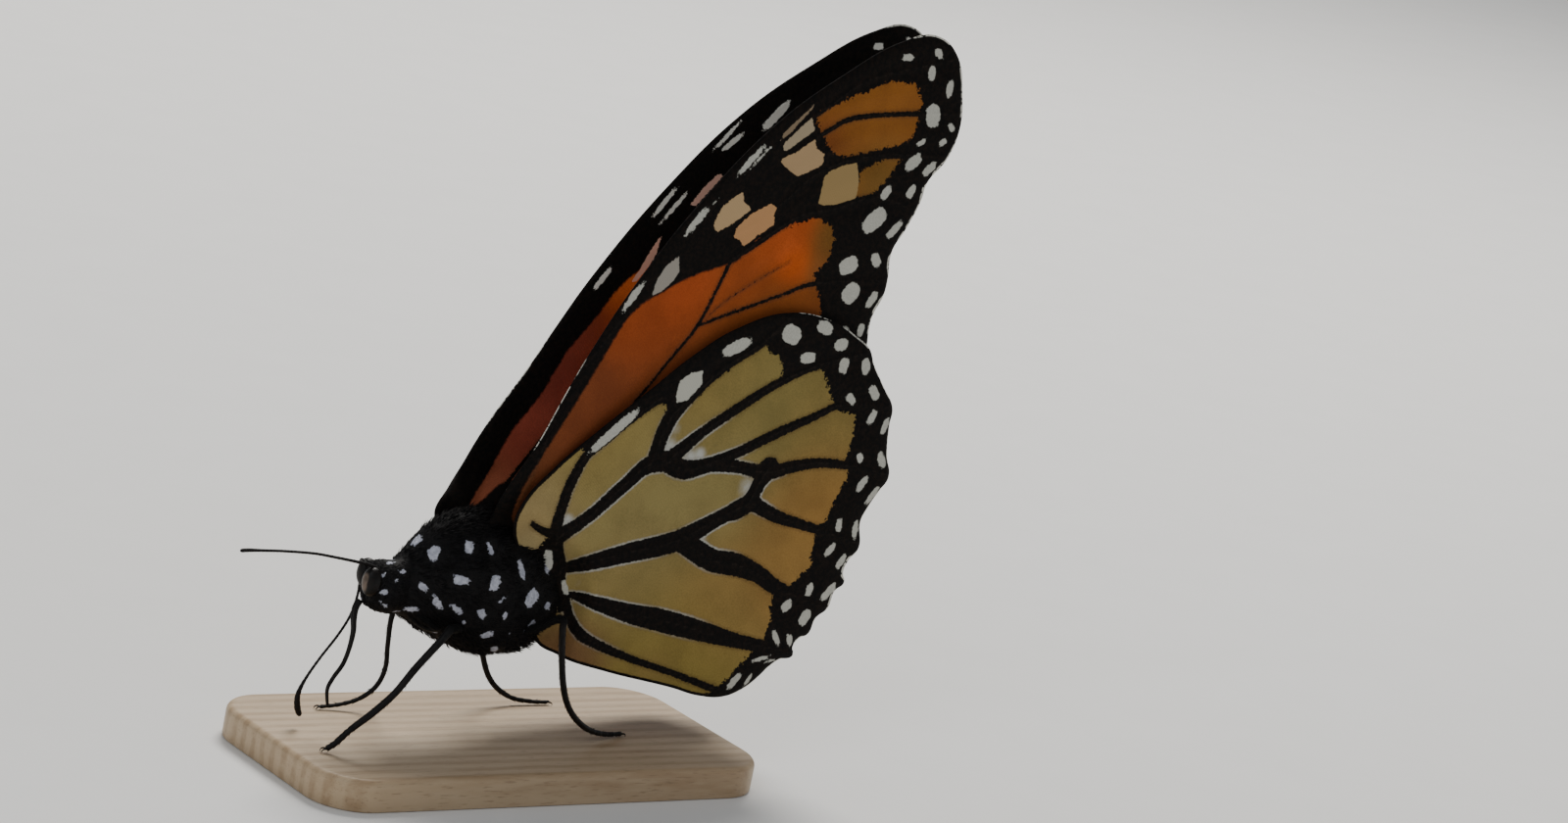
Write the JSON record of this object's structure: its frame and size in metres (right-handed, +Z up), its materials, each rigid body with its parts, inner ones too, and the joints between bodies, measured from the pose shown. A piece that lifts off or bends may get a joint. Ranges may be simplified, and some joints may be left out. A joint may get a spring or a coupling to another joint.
{
  "type": "monarch butterfly model on a display base",
  "caption": "Still life-size monarch butterfly standing with its wings closed over its back on a low flat display base.",
  "frame": {"origin": "middle of the display base's underside, which lies on Z = 0", "axes": "the butterfly's head points along -X, its left side faces -Y, and +Z is up"},
  "size_m": [0.0599, 0.019, 0.0593],
  "materials": {
    "body_black": "soft black hair with white dots",
    "eye": "dark glossy eye",
    "forewing": "orange wing scales, black veins and border",
    "hindwing": "tan wing scales, black veins and border",
    "leg": "smooth black leg",
    "feeler": "black feeler",
    "base_wood": "pale satin wood"
  },
  "bodies": {
    "root": {"abdomen": "body_black", "antenna_left": "feeler", "antenna_right": "feeler", "eye_left": "eye", "eye_right": "eye", "foreleg_left": "leg", "foreleg_right": "leg", "forewing_left": "forewing", "forewing_right": "forewing", "head": "body_black", "hindleg_left": "leg", "hindleg_right": "leg", "hindwing_left": "hindwing", "hindwing_right": "hindwing", "midleg_left": "leg", "midleg_right": "leg", "palp_left": "body_black", "palp_right": "body_black", "proboscis": "feeler", "stand_base": "base_wood", "thorax": "body_black"}
  },
  "joints": []
}
